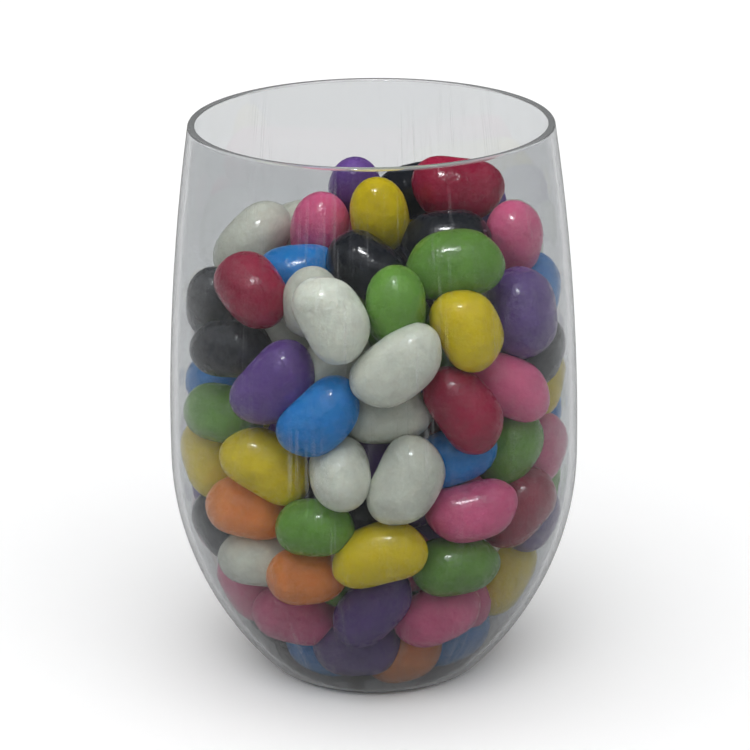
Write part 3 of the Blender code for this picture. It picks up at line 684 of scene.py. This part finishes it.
def cup_profile(cup):
    """Radius and height round the cup's section: under the foot, up the outside and down the inside."""
    rounding = [
        (cup.foot_radius - FOOT_ROUNDING * (1 - math.sin(angle)), FOOT_ROUNDING * (1 - math.cos(angle)))
        for angle in np.linspace(0, math.pi / 2, FOOT_ROUNDING_POINTS)[:-1]
    ]
    up = held(ring_heights(cup, FOOT_ROUNDING, cup.height - RIM_ROUNDING))
    outside = zip(side_radius(cup, up, cup.foot_radius, 0.0, cup.belly_radius), up)
    middle, flat = cup.rim_radius - cup.wall / 2, cup.wall / 2 - RIM_ROUNDING
    rim = [
        (
            middle + flat * side + RIM_ROUNDING * math.cos(angle),
            cup.height - RIM_ROUNDING * (1 - math.sin(angle)),
        )
        for side, first in ((1, 0), (-1, math.pi / 2))
        for angle in first + np.linspace(0, math.pi / 2, RIM_ROUNDING_POINTS)
    ][1:-1]
    inside = inside_profile(cup, held(ring_heights(cup, cup.floor, cup.height - RIM_ROUNDING)))[::-1]
    return [(0, 0), *rounding, *outside, *rim, *map(tuple, inside)]


def add_node(tree, kind, settings=(), links=()):
    """A node with its settings and socket values set, and its inputs linked from other sockets."""
    node = tree.nodes.new(kind)
    for name, value in dict(settings).items():
        if isinstance(name, int) or name in node.inputs.keys():
            node.inputs[name].default_value = value
        else:
            setattr(node, name, value)
    for name, socket in dict(links).items():
        tree.links.new(socket, node.inputs[name])
    return node


def blank_material(name):
    """A material with no nodes but its output."""
    made = bpy.data.materials.new(name)
    made.use_nodes = True
    made.node_tree.nodes.clear()
    return made, made.node_tree, made.node_tree.nodes.new("ShaderNodeOutputMaterial")


def per_metre(size_mm):
    """The scale that gives a pattern features of a real size."""
    return 1 / (size_mm * MM)


def sugar_shell(name, colour):
    """Panned sugar shell, polished with wax: a glossy, faintly dimpled and slightly see-through skin."""
    made, tree, out = blank_material(name)
    place = add_node(tree, "ShaderNodeTexCoord").outputs["Object"]
    # Colour goes on in coats, so it lies a little thicker in some places than in others.
    coats = add_node(
        tree,
        "ShaderNodeTexNoise",
        {"Scale": per_metre(6), "Detail": 4.0, "Roughness": 0.6},
        {"Vector": place},
    )
    depth = add_node(
        tree,
        "ShaderNodeMapRange",
        {"From Min": 0.3, "From Max": 0.7, "To Min": 0.86, "To Max": 1.12},
        {"Value": coats.outputs["Fac"]},
    )
    # Grains of sugar under the wax leave slightly paler specks, 0.8 mm apart.
    grains = add_node(
        tree,
        "ShaderNodeTexNoise",
        {"Scale": per_metre(0.8), "Detail": 1.0, "Roughness": 0.5},
        {"Vector": place},
    )
    speck = add_node(
        tree,
        "ShaderNodeMapRange",
        {"From Min": 0.55, "From Max": 0.8, "To Min": 1.0, "To Max": 1.1},
        {"Value": grains.outputs["Fac"]},
    )
    tone = add_node(tree, "ShaderNodeAttribute", {"attribute_name": "bean_tone"})
    even = add_node(
        tree,
        "ShaderNodeMath",
        {"operation": "MULTIPLY"},
        {0: depth.outputs["Result"], 1: tone.outputs["Fac"]},
    )
    lightness = add_node(
        tree,
        "ShaderNodeMath",
        {"operation": "MULTIPLY"},
        {0: even.outputs[0], 1: speck.outputs["Result"]},
    )
    shade = add_node(
        tree,
        "ShaderNodeHueSaturation",
        {"Color": (*colour, 1)},
        {"Value": lightness.outputs[0]},
    )
    # Tumbling in the pan leaves shallow dimples, 2.2 mm apart, with finer ones between them.
    dimples = add_node(
        tree,
        "ShaderNodeTexNoise",
        {"Scale": per_metre(2.2), "Detail": 2.5, "Roughness": 0.5},
        {"Vector": place},
    )
    skin_bump = add_node(
        tree,
        "ShaderNodeBump",
        {"Strength": 1.0, "Distance": 0.35 * MM},
        {"Height": dimples.outputs["Fac"]},
    )
    # The wax is rubbed off in patches where the beans have rolled together.
    rubbed = add_node(
        tree,
        "ShaderNodeTexNoise",
        {"Scale": per_metre(3.5), "Detail": 4.0, "Roughness": 0.6},
        {"Vector": place},
    )
    gloss = add_node(
        tree,
        "ShaderNodeMapRange",
        {"From Min": 0.35, "From Max": 0.7, "To Min": 0.2, "To Max": 0.4},
        {"Value": rubbed.outputs["Fac"]},
    )
    shader = add_node(
        tree,
        "ShaderNodeBsdfPrincipled",
        {
            "IOR": 1.48,
            "Specular IOR Level": 0.2,
            "Subsurface Weight": 0.5,
            "Subsurface Radius": (1.0, 0.85, 0.75),
            "Subsurface Scale": 2 * MM,
            "Coat Weight": 0.3,
            "Coat Roughness": 0.09,
        },
        {
            "Base Color": shade.outputs["Color"],
            "Roughness": gloss.outputs["Result"],
            "Normal": skin_bump.outputs["Normal"],
        },
    )
    tree.links.new(shader.outputs["BSDF"], out.inputs["Surface"])
    return made


def clear_plastic(name, tint):
    """Injection-moulded clear polystyrene: it flows up from the foot, so faint streaks run up its side."""
    made, tree, out = blank_material(name)
    place = add_node(tree, "ShaderNodeTexCoord").outputs["Object"]
    # Streaks 3 mm apart round the side and 60 mm long bend and scatter the light a little.
    drawn_up = add_node(
        tree,
        "ShaderNodeMapping",
        {"Scale": (per_metre(3), per_metre(3), per_metre(60))},
        {"Vector": place},
    )
    streaks = add_node(
        tree,
        "ShaderNodeTexNoise",
        {"Scale": 1.0, "Detail": 3.0, "Roughness": 0.5},
        {"Vector": drawn_up.outputs[0]},
    )
    waviness = add_node(
        tree,
        "ShaderNodeBump",
        {"Strength": 0.25, "Distance": 0.02 * MM},
        {"Height": streaks.outputs["Fac"]},
    )
    scuffed = add_node(
        tree,
        "ShaderNodeMapRange",
        {"From Min": 0.5, "From Max": 0.75, "To Min": 0.0, "To Max": 0.04},
        {"Value": streaks.outputs["Fac"]},
    )
    # The mould parts at the rim and leaves its top 0.7 mm a little matt.
    height = add_node(tree, "ShaderNodeSeparateXYZ", (), {"Vector": place})
    clear = add_node(
        tree,
        "ShaderNodeMapRange",
        {
            "From Min": CUP_HEIGHT - 0.7 * MM,
            "From Max": CUP_HEIGHT - 0.25 * MM,
            "To Min": 1.0,
            "To Max": 0.66,
        },
        {"Value": height.outputs["Z"]},
    )
    # Painted shade: the plastic's colour is darker towards the foot, standing in for the dark table that the
    # lower wall shows.
    foot_shade_share = add_node(
        tree,
        "ShaderNodeMapRange",
        {"From Min": 0.0, "From Max": PAINTED_SHADE_HEIGHT, "To Min": 0.75, "To Max": 1.0},
        {"Value": height.outputs["Z"]},
    )
    shaded_tint = add_node(
        tree, "ShaderNodeHueSaturation", {"Color": (*tint, 1)}, {"Value": foot_shade_share.outputs["Result"]}
    )
    # Scratches from stacking run up the side, in patches.
    round_side = add_node(
        tree, "ShaderNodeMath", {"operation": "ARCTAN2"}, {0: height.outputs["X"], 1: height.outputs["Y"]}
    )
    unrolled = add_node(
        tree, "ShaderNodeCombineXYZ", (), {"X": round_side.outputs[0], "Z": height.outputs["Z"]}
    )
    shares = []
    for wide, long, faintest, strongest in SCRATCHES:
        spot = add_node(
            tree,
            "ShaderNodeMapping",
            {"Scale": (BELLY_RADIUS * per_metre(wide), 1, per_metre(long))},
            {"Vector": unrolled.outputs[0]},
        )
        noise = add_node(
            tree, "ShaderNodeTexNoise", {"Scale": 1.0, "Detail": 1.0}, {"Vector": spot.outputs[0]}
        )
        share = add_node(
            tree,
            "ShaderNodeMapRange",
            {"From Min": faintest, "From Max": strongest},
            {"Value": noise.outputs["Fac"]},
        )
        shares.append(share.outputs["Result"])
    lines, patches = shares
    scratched = add_node(
        tree,
        "ShaderNodeMath",
        {"operation": "MULTIPLY"},
        {0: lines, 1: patches},
    )
    unbroken = add_node(
        tree,
        "ShaderNodeMath",
        {"operation": "MULTIPLY_ADD", 1: -SCRATCH_DEPTH},
        {0: scratched.outputs[0], 2: clear.outputs["Result"]},
    )
    plastic = add_node(
        tree,
        "ShaderNodeBsdfPrincipled",
        {"IOR": 1.5, "Specular Tint": (0.4, 0.4, 0.4, 1)},
        {
            "Base Color": shaded_tint.outputs["Color"],
            "Roughness": scuffed.outputs["Result"],
            "Transmission Weight": unbroken.outputs[0],
            "Normal": waviness.outputs["Normal"],
        },
    )
    # Light from the lamps goes straight through, tinted by the plastic's colour with its painted shade
    # towards the foot, so the beans aren't left in the dark.
    open_to_light = add_node(tree, "ShaderNodeBsdfTransparent", (), {"Color": shaded_tint.outputs["Color"]})
    path = add_node(tree, "ShaderNodeLightPath")
    mixed = add_node(
        tree,
        "ShaderNodeMixShader",
        (),
        {"Fac": path.outputs["Is Shadow Ray"], 1: plastic.outputs["BSDF"], 2: open_to_light.outputs["BSDF"]},
    )
    tree.links.new(mixed.outputs[0], out.inputs["Surface"])
    return made


def paper_floor(name, colour):
    """Smooth white paper, without gloss."""
    made, tree, out = blank_material(name)
    place = add_node(tree, "ShaderNodeTexCoord").outputs["Object"]
    pulp = add_node(
        tree,
        "ShaderNodeTexNoise",
        {"Scale": per_metre(2), "Detail": 2.0, "Roughness": 0.5},
        {"Vector": place},
    )
    tooth = add_node(
        tree, "ShaderNodeBump", {"Strength": 0.1, "Distance": 0.02 * MM}, {"Height": pulp.outputs["Fac"]}
    )
    shader = add_node(
        tree,
        "ShaderNodeBsdfPrincipled",
        {"Base Color": (*colour, 1), "Roughness": 0.9, "Specular IOR Level": 0.2},
        {"Normal": tooth.outputs["Normal"]},
    )
    tree.links.new(shader.outputs["BSDF"], out.inputs["Surface"])
    return made


def add_piece(name, mesh, material):
    """A smooth scene object from a bmesh, which is then freed."""
    data = bpy.data.meshes.new(name)
    mesh.to_mesh(data)
    mesh.free()
    data.shade_smooth()
    data.materials.append(material)
    made = bpy.data.objects.new(name, data)
    bpy.context.scene.collection.objects.link(made)
    return made


def shown(inside, beans):
    """Whether each bean can be seen: at the wall or the floor, or with nothing over it."""
    at_wall = wall_gap(inside, beans.places)[0] < SHOWN_DEPTH
    across = beans.places[:, None, :2] - beans.places[None, :, :2]
    near = (across ** 2).sum(2) < COVER_ACROSS ** 2
    above = beans.places[None, :, 2] - beans.places[:, None, 2] > COVER_ABOVE
    return at_wall | ~(near & above).any(1)


def shape_bean(mesh, detail, place, turned_and_sized, tone, draw):
    """One bean: a ball drawn out to a full, bent oval, with a fuller end and a few shallow lumps."""
    corners = bmesh.ops.create_icosphere(mesh, subdivisions=detail, radius=1)["verts"]
    directions = unit(np.array([corner.co for corner in corners]))
    lumps = unit(draw.normal(size=(LUMP_COUNT, 3)))
    heights = draw.uniform(LOWEST_LUMP, HIGHEST_LUMP, LUMP_COUNT)
    uneven = 1 + LUMPS * (np.clip(directions @ lumps.T, 0, 1) ** LUMP_SHARPNESS * heights).sum(1)
    fuller = 1 + TAPER * draw.uniform(-1, 1) * directions[:, :1]
    shaped = directions * uneven[:, None] * np.concatenate([np.ones_like(fuller), fuller, fuller], 1)
    tones = mesh.verts.layers.float["bean_tone"]
    for corner, point in zip(corners, place + skin(shaped, *turned_and_sized)):
        corner.co = Vector(point)
        corner[tones] = tone


class JELLYCUP_OT_add_cup(bpy.types.Operator):
    """Build the clear moulded cup"""
    bl_idname = "jellycup.add_cup"
    bl_label = "Clear cup"
    bl_options = {"REGISTER", "UNDO"}

    def execute(self, context):
        settings = context.scene.jellycup_cup
        profile = cup_profile(exact(settings))
        mesh = bmesh.new()
        corners = [mesh.verts.new((radius, 0, height)) for radius, height in profile]
        edges = [mesh.edges.new(pair) for pair in zip(corners, corners[1:])]
        bmesh.ops.spin(
            mesh,
            geom=corners + edges,
            axis=(0, 0, 1),
            cent=(0, 0, 0),
            angle=math.tau,
            steps=settings.segments,
            use_merge=True,
        )
        bmesh.ops.remove_doubles(mesh, verts=mesh.verts, dist=0.001 * MM)
        bmesh.ops.recalc_face_normals(mesh, faces=mesh.faces)
        cup = add_piece("clear_cup", mesh, clear_plastic("clear moulded polystyrene", settings.tint))
        cup.data.set_sharp_from_angle(angle=SHARPEST_ANGLE)
        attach(cup, "root")
        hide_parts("cup")
        return {"FINISHED"}


class JELLYCUP_OT_add_beans(bpy.types.Operator):
    """Pack the jelly beans into the cup, one piece for each colour"""
    bl_idname = "jellycup.add_beans"
    bl_label = "Jelly beans"
    bl_options = {"REGISTER", "UNDO"}

    def execute(self, context):
        settings = context.scene.jellycup_beans
        cup = exact(context.scene.jellycup_cup)
        inside = inside_profile(cup, ring_heights(cup, cup.floor, cup.height))
        beans, colours = pack_beans(inside)
        in_sight = shown(inside, beans)
        draw = np.random.default_rng(FILL_SEED)
        meshes = {}
        for name in BEAN_COLOURS:
            meshes[name] = bmesh.new()
            meshes[name].verts.layers.float.new("bean_tone")
        for number, colour in enumerate(colours):
            place, *turned_and_sized = (column[number] for column in beans)
            detail = settings.detail if in_sight[number] else HIDDEN_BEAN_DETAIL
            tone = draw.normal(1, TONE_SPREAD)
            shape_bean(meshes[colour], detail, place, turned_and_sized, tone, draw)
        for name, mesh in meshes.items():
            if not mesh.verts:
                raise RuntimeError(f"no {name} bean was packed")
            shell = sugar_shell(f"{name} sugar shell", getattr(settings, name))
            piece = add_piece(f"beans_{name}", mesh, shell)
            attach(piece, "root")
            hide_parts("jelly_bean_heap")
        return {"FINISHED"}


class JELLYCUP_OT_add_stage(bpy.types.Operator):
    """Add the pale floor, the soft studio light and the camera"""
    bl_idname = "jellycup.add_stage"
    bl_label = "Stage"
    bl_options = {"REGISTER", "UNDO"}

    def execute(self, context):
        settings = context.scene.jellycup_stage
        mesh = bmesh.new()
        bmesh.ops.create_circle(mesh, cap_ends=True, segments=PAPER_SIDES, radius=PAPER_RADIUS)
        bmesh.ops.translate(mesh, verts=mesh.verts, vec=(0, 0, -PAPER_DROP))
        floor = add_piece("stage_floor", mesh, paper_floor("white paper", settings.floor_colour))
        floor.visible_glossy = False
        self.light_room(context, settings)
        self.add_camera(context)
        return {"FINISHED"}

    def light_room(self, context, settings):
        """A dark room over a grey table, two broad lights and a small softbox."""
        world = bpy.data.worlds.new("room")
        world.use_nodes = True
        tree = world.node_tree
        sky = add_node(tree, "ShaderNodeTexCoord").outputs["Generated"]
        way = add_node(tree, "ShaderNodeSeparateXYZ", (), {"Vector": sky})
        below = add_node(
            tree, "ShaderNodeMapRange", {"From Min": 0.1, "From Max": -0.1}, {"Value": way.outputs["Z"]}
        )
        colour = add_node(
            tree,
            "ShaderNodeMix",
            {"data_type": "RGBA", 6: (*settings.room_colour, 1), 7: (*settings.table_colour, 1)},
            {0: below.outputs["Result"]},
        )
        tree.links.new(colour.outputs[2], tree.nodes["Background"].inputs["Color"])
        context.scene.world = world
        for name, strength, place in (
            ("overhead", settings.overhead, OVERHEAD_PLACE),
            ("fill", settings.fill, FILL_PLACE),
        ):
            broad = bpy.data.lights.new(name, "SUN")
            broad.energy = strength
            broad.angle = BROAD_LIGHT_ANGLE
            self.add_light(context, broad, place).visible_glossy = False
        box = bpy.data.lights.new("softbox", "AREA")
        box.energy = settings.softbox
        box.shape = "RECTANGLE"
        box.size = SOFTBOX_WIDTH
        box.size_y = SOFTBOX_DEPTH
        # It only makes the small, sharp glints; the broad lights do the rest.
        self.add_light(context, box, SOFTBOX_PLACE).visible_diffuse = False

    def add_light(self, context, light, place):
        """A light at a place, turned to the middle of the cup."""
        made = bpy.data.objects.new(light.name, light)
        middle = Vector((0, 0, CUP_HEIGHT / 2))
        made.matrix_world = Matrix.LocRotScale(place, (middle - place).to_track_quat("-Z", "Y"), None)
        context.scene.collection.objects.link(made)
        return made

    def add_camera(self, context):
        """The camera where the picture's eye is."""
        lens = bpy.data.cameras.new("camera")
        lens.sensor_width = SENSOR_WIDTH
        lens.lens = lens.sensor_width * FOCAL_PIXELS / PICTURE_SIZE
        lens.shift_x = (PICTURE_SIZE / 2 - MIDDLE_COLUMN) / PICTURE_SIZE
        lens.clip_start = NEAREST_IN_VIEW
        camera = bpy.data.objects.new("camera", lens)
        across = RIGHT * math.cos(ROLL) - UP * math.sin(ROLL)
        up = RIGHT * math.sin(ROLL) + UP * math.cos(ROLL)
        turned = Matrix((across, up, -FORWARD)).transposed()
        camera.matrix_world = Matrix.LocRotScale(Vector(EYE), turned.to_quaternion(), None)
        context.scene.collection.objects.link(camera)
        context.scene.camera = camera
        context.scene.view_settings.view_transform = "Standard"
        context.scene.cycles.max_bounces = CLEAR_BOUNCES
        context.scene.cycles.transmission_bounces = CLEAR_BOUNCES
        context.scene.cycles.glossy_bounces = GLOSSY_BOUNCES


class JELLYCUP_PT_panel(bpy.types.Panel):
    """The cup, its beans and their stage"""
    bl_idname = "JELLYCUP_PT_panel"
    bl_label = "Cup of jelly beans"
    bl_space_type = "VIEW_3D"
    bl_region_type = "UI"
    bl_category = "Jelly beans"

    def draw(self, context):
        for group, operator in (
            (context.scene.jellycup_cup, JELLYCUP_OT_add_cup),
            (context.scene.jellycup_beans, JELLYCUP_OT_add_beans),
            (context.scene.jellycup_stage, JELLYCUP_OT_add_stage),
        ):
            box = self.layout.box()
            for name in group.__annotations__:
                box.prop(group, name)
            box.operator(operator.bl_idname)


CLASSES = (
    CupSettings,
    BeanSettings,
    StageSettings,
    JELLYCUP_OT_add_cup,
    JELLYCUP_OT_add_beans,
    JELLYCUP_OT_add_stage,
    JELLYCUP_PT_panel,
)


def register():
    """Make the settings, operators and panel known to Blender."""
    for cls in CLASSES:
        bpy.utils.register_class(cls)
    bpy.types.Scene.jellycup_cup = PointerProperty(type=CupSettings)
    bpy.types.Scene.jellycup_beans = PointerProperty(type=BeanSettings)
    bpy.types.Scene.jellycup_stage = PointerProperty(type=StageSettings)


def unregister():
    """Take away what register made."""
    del bpy.types.Scene.jellycup_stage
    del bpy.types.Scene.jellycup_beans
    del bpy.types.Scene.jellycup_cup
    for cls in reversed(CLASSES):
        bpy.utils.unregister_class(cls)


def main():
    """Build the cup, its beans and their stage."""
    register()
    bpy.ops.jellycup.add_cup()
    bpy.ops.jellycup.add_beans()
    bpy.ops.jellycup.add_stage()


if __name__ == "__main__":
    main()
